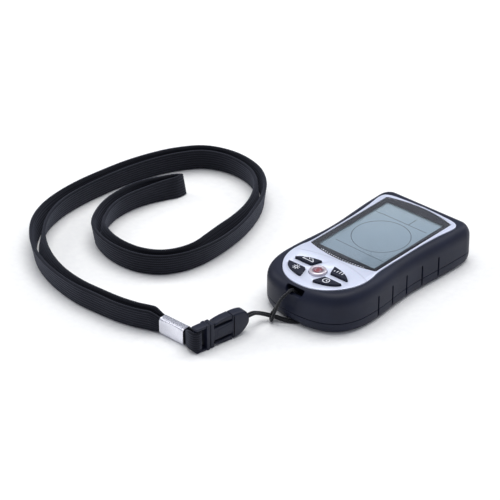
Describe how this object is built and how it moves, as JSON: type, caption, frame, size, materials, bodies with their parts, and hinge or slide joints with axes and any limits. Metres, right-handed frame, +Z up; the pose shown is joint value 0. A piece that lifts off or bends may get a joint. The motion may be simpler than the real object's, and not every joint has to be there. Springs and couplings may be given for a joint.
{
  "type": "handheld fishing weather unit",
  "caption": "Palm-size battery weather and altitude unit for anglers, with a segment display, five keys, a slide-off battery door and a neck lanyard on a detachable buckle.",
  "frame": {"origin": "on the surface that the back rests on, under the middle of the case", "axes": "+Y from the lanyard end to the display end, +X to the unit's right as it is read, +Z up out of the display"},
  "size_m": [0.191, 0.1663, 0.023],
  "materials": {
    "case_black": "moulded, satin with a fine grain",
    "plate_silver": "silver metallic paint on moulded plastic",
    "window_clear": "clear acrylic",
    "frame_black": "printed black",
    "display_grey": "grey-green reflective segment display",
    "holder_white": "moulded",
    "strip_rubber": "matt silicone",
    "key_black": "moulded, satin, white printed symbols",
    "key_silver": "bright plated ring with a rose-grey centre",
    "board_green": "solder mask",
    "chip_black": "moulded epoxy",
    "steel": "plated",
    "brass": "rolled",
    "cell_wrap": "printed foil wrap",
    "buckle_black": "moulded acetal",
    "crimp_steel": "bright nickel plate",
    "cord_black": "braided polyester",
    "webbing_black": "ribbed polyester webbing"
  },
  "bodies": {
    "unit": {"upper_case": "case_black", "lower_case": "case_black", "face_plate": "plate_silver", "display_lens": "window_clear", "lens_gasket": "frame_black", "lcd_panel": "display_grey", "lcd_holder": "holder_white", "lcd_strip_near": "strip_rubber", "lcd_strip_far": "strip_rubber", "keypad_mat": "strip_rubber", "circuit_board": "board_green", "controller_chip": "chip_black", "pressure_sensor": "steel", "heading_sensor": "chip_black", "clock_crystal": "steel", "sounder": "brass", "cell_left": "cell_wrap", "cell_right": "cell_wrap", "spring_contact_left": "steel", "spring_contact_right": "steel", "plate_contact_left": "steel", "plate_contact_right": "steel", "case_screw_1": "steel", "case_screw_2": "steel", "case_screw_3": "steel", "case_screw_4": "steel", "buckle_plug": "buckle_black", "cord_loop": "cord_black"},
    "key_upper_left": {"key_upper_left": "key_black"},
    "key_upper_right": {"key_upper_right": "key_black"},
    "key_lower_left": {"key_lower_left": "key_black"},
    "key_lower_right": {"key_lower_right": "key_black"},
    "key_centre": {"key_centre": "key_silver"},
    "battery_door": {"battery_door": "case_black"},
    "buckle_lever_upper": {"buckle_lever_upper": "buckle_black"},
    "buckle_lever_lower": {"buckle_lever_lower": "buckle_black"},
    "neck_lanyard": {"buckle_socket": "buckle_black", "crimp": "crimp_steel", "neck_webbing": "webbing_black"}
  },
  "joints": [
    {"name": "key_upper_left_press", "type": "slide", "parent": "unit", "child": "key_upper_left", "axis": [0, 0, -1], "range_m": [0, 0.0008], "stiffness_N_per_m": 600},
    {"name": "key_upper_right_press", "type": "slide", "parent": "unit", "child": "key_upper_right", "axis": [0, 0, -1], "range_m": [0, 0.0008], "stiffness_N_per_m": 600},
    {"name": "key_lower_left_press", "type": "slide", "parent": "unit", "child": "key_lower_left", "axis": [0, 0, -1], "range_m": [0, 0.0008], "stiffness_N_per_m": 600},
    {"name": "key_lower_right_press", "type": "slide", "parent": "unit", "child": "key_lower_right", "axis": [0, 0, -1], "range_m": [0, 0.0008], "stiffness_N_per_m": 600},
    {"name": "key_centre_press", "type": "slide", "parent": "unit", "child": "key_centre", "axis": [0, 0, -1], "range_m": [0, 0.0008], "stiffness_N_per_m": 600},
    {"name": "battery_door_slide", "type": "slide", "parent": "unit", "child": "battery_door", "axis": [0, 1, 0], "range_m": [0, 0.06]},
    {"name": "buckle_lever_upper_squeeze", "type": "hinge", "parent": "unit", "child": "buckle_lever_upper", "pos_m": [-0.01541, -0.08305, 0.01285], "axis": [0.9877, -0.1564, 0], "range_deg": [0, 6], "stiffness_Nm_per_rad": 0.5},
    {"name": "buckle_lever_lower_squeeze", "type": "hinge", "parent": "unit", "child": "buckle_lever_lower", "pos_m": [-0.01541, -0.08305, 0.00125], "axis": [-0.9877, 0.1564, 0], "range_deg": [0, 6], "stiffness_Nm_per_rad": 0.5},
    {"name": "buckle_release", "type": "slide", "parent": "unit", "child": "neck_lanyard", "axis": [-0.1564, -0.9877, 0], "range_m": [0, 0.015]}
  ]
}
